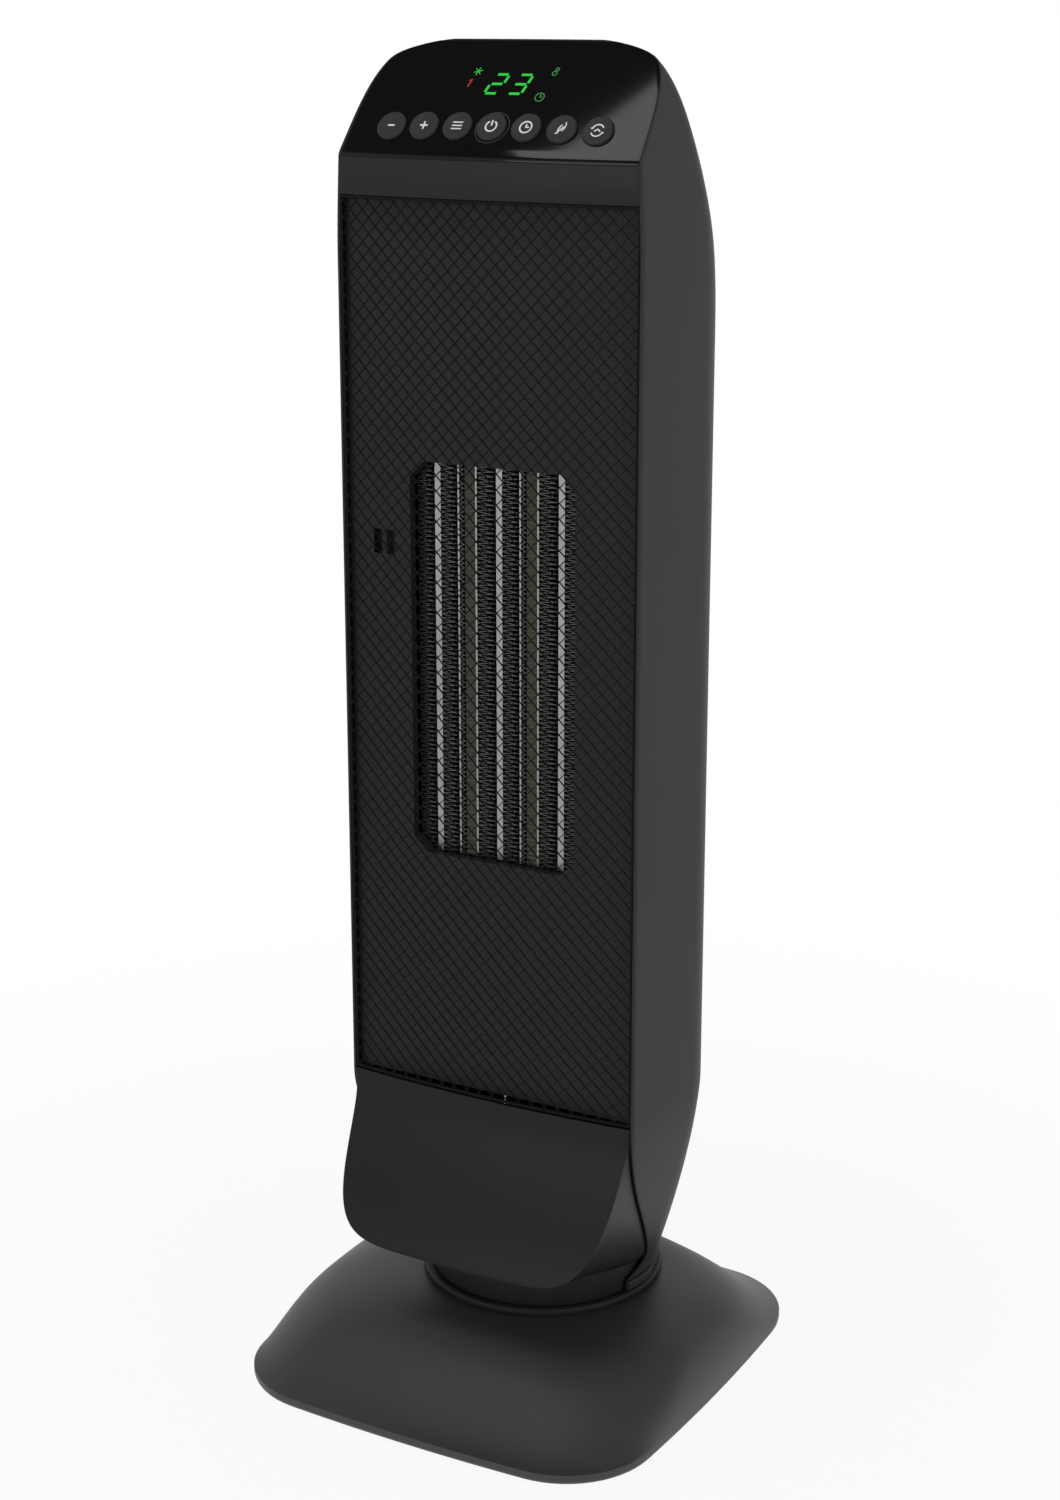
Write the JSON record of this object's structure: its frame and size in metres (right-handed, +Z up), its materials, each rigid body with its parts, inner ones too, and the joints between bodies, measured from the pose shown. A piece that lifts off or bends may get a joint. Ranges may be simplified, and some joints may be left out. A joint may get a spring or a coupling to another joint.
{
  "type": "tower heater",
  "caption": "Free-standing ceramic tower heater on a square swivel base, with a mesh front, a sloped key panel with a lit display and a rear air intake.",
  "frame": {"origin": "middle of the base's footprint, on the floor", "axes": "+Z up the tower, -Y towards the front mesh, +X to the right seen from the front"},
  "size_m": [0.2234, 0.2322, 0.65],
  "materials": {
    "shell_plastic": "fine spark texture, satin black",
    "front_plastic": "smooth satin black",
    "grille_plastic": "matt black mesh",
    "baffle_plastic": "matt black",
    "base_plastic": "fine spark texture, satin black",
    "gloss_panel": "piano black gloss",
    "button_plastic": "satin grey black with light signs",
    "display_lens": "smoked window with lit digits behind",
    "switch_plastic": "satin black",
    "inner_plastic": "matt black moulding",
    "heat_plastic": "matt heat-proof moulding",
    "gear_plastic": "natural white acetal",
    "wheel_metal": "dull rolled sheet",
    "bright_bar": "extruded, bare",
    "fin_metal": "thin folded strip, bare",
    "heating_stone": "dull brown glazed ceramic",
    "steel": "zinc plated",
    "brass": "tinned tab",
    "circuit_board": "green solder mask",
    "filter_fabric": "fine nylon gauze",
    "foot_rubber": "moulded rubber"
  },
  "bodies": {
    "base": {"base_housing": "base_plastic", "base_plate": "base_plastic", "rubber_feet": "foot_rubber", "base_plate_screws": "steel", "cord_gland": "switch_plastic", "tilt_switch": "inner_plastic", "swivel_motor": "steel", "pivot_bush": "gear_plastic", "slide_ring": "gear_plastic"},
    "tower": {"right_side_shell": "shell_plastic", "left_side_shell": "shell_plastic", "rear_cover": "shell_plastic", "turntable": "shell_plastic", "lower_front_cover": "front_plastic", "upper_trim": "front_plastic", "front_grille": "grille_plastic", "baffle_panel": "baffle_plastic", "control_panel": "gloss_panel", "display_module": "display_lens", "switch_housing": "switch_plastic", "lower_bulkhead": "inner_plastic", "upper_bulkhead": "inner_plastic", "blower_scroll": "inner_plastic", "vortex_wall": "inner_plastic", "power_relays": "inner_plastic", "push_switches": "inner_plastic", "room_sensor": "inner_plastic", "heater_frame": "heat_plastic", "swivel_gear": "gear_plastic", "gear_retainer": "gear_plastic", "heater_bars": "bright_bar", "contact_plates": "bright_bar", "heater_fins": "fin_metal", "ptc_stones": "heating_stone", "motor_bracket": "steel", "blower_motor": "steel", "thermal_cutout": "steel", "heater_terminals": "brass", "top_bearing": "brass", "control_board": "circuit_board", "power_board": "circuit_board"},
    "pinion": {"swivel_pinion": "gear_plastic"},
    "blower": {"blower_wheel": "wheel_metal", "blower_shaft": "steel"},
    "intake_panel": {"intake_grille": "grille_plastic", "filter_frame": "inner_plastic", "filter_mesh": "filter_fabric"},
    "rocker": {"main_switch_rocker": "switch_plastic"},
    "key_minus": {"button_minus": "button_plastic"},
    "key_plus": {"button_plus": "button_plastic"},
    "key_mode": {"button_mode": "button_plastic"},
    "key_power": {"button_power": "button_plastic"},
    "key_timer": {"button_timer": "button_plastic"},
    "key_eco": {"button_eco": "button_plastic"},
    "key_swing": {"button_swing": "button_plastic"}
  },
  "joints": [
    {"name": "tower_swivel", "type": "hinge", "parent": "base", "child": "tower", "pos_m": [0, 0.022, 0.045], "axis": [0, 0, 1], "range_deg": [-35, 35]},
    {"name": "pinion_spin", "type": "hinge", "parent": "base", "child": "pinion", "pos_m": [0, 0.058, 0.03], "axis": [0, 0, 1], "range_deg": [-180, 180]},
    {"name": "blower_spin", "type": "hinge", "parent": "tower", "child": "blower", "pos_m": [0, 0.038, 0.365], "axis": [0, 0, 1], "continuous": true},
    {"name": "intake_pull", "type": "slide", "parent": "tower", "child": "intake_panel", "axis": [0, 1, 0], "range_m": [0, 0.04]},
    {"name": "rocker_tip", "type": "hinge", "parent": "tower", "child": "rocker", "pos_m": [0, 0.0815, 0.116], "axis": [1, 0, 0], "range_deg": [0, 16]},
    {"name": "minus_press", "type": "slide", "parent": "tower", "child": "key_minus", "axis": [0, 0.7885, -0.615], "range_m": [0, 0.0008], "stiffness_N_per_m": 1500, "springref_m": -0.0005},
    {"name": "plus_press", "type": "slide", "parent": "tower", "child": "key_plus", "axis": [0, 0.7885, -0.615], "range_m": [0, 0.0008], "stiffness_N_per_m": 1500, "springref_m": -0.0005},
    {"name": "mode_press", "type": "slide", "parent": "tower", "child": "key_mode", "axis": [0, 0.7885, -0.615], "range_m": [0, 0.0008], "stiffness_N_per_m": 1500, "springref_m": -0.0005},
    {"name": "power_press", "type": "slide", "parent": "tower", "child": "key_power", "axis": [0, 0.7885, -0.615], "range_m": [0, 0.0008], "stiffness_N_per_m": 1500, "springref_m": -0.0005},
    {"name": "timer_press", "type": "slide", "parent": "tower", "child": "key_timer", "axis": [0, 0.7885, -0.615], "range_m": [0, 0.0008], "stiffness_N_per_m": 1500, "springref_m": -0.0005},
    {"name": "eco_press", "type": "slide", "parent": "tower", "child": "key_eco", "axis": [0, 0.7885, -0.615], "range_m": [0, 0.0008], "stiffness_N_per_m": 1500, "springref_m": -0.0005},
    {"name": "swing_press", "type": "slide", "parent": "tower", "child": "key_swing", "axis": [0, 0.7885, -0.615], "range_m": [0, 0.0008], "stiffness_N_per_m": 1500, "springref_m": -0.0005}
  ],
  "couplings": [
    {"joint": "pinion_spin", "follows": "tower_swivel", "ratio": -5}
  ]
}
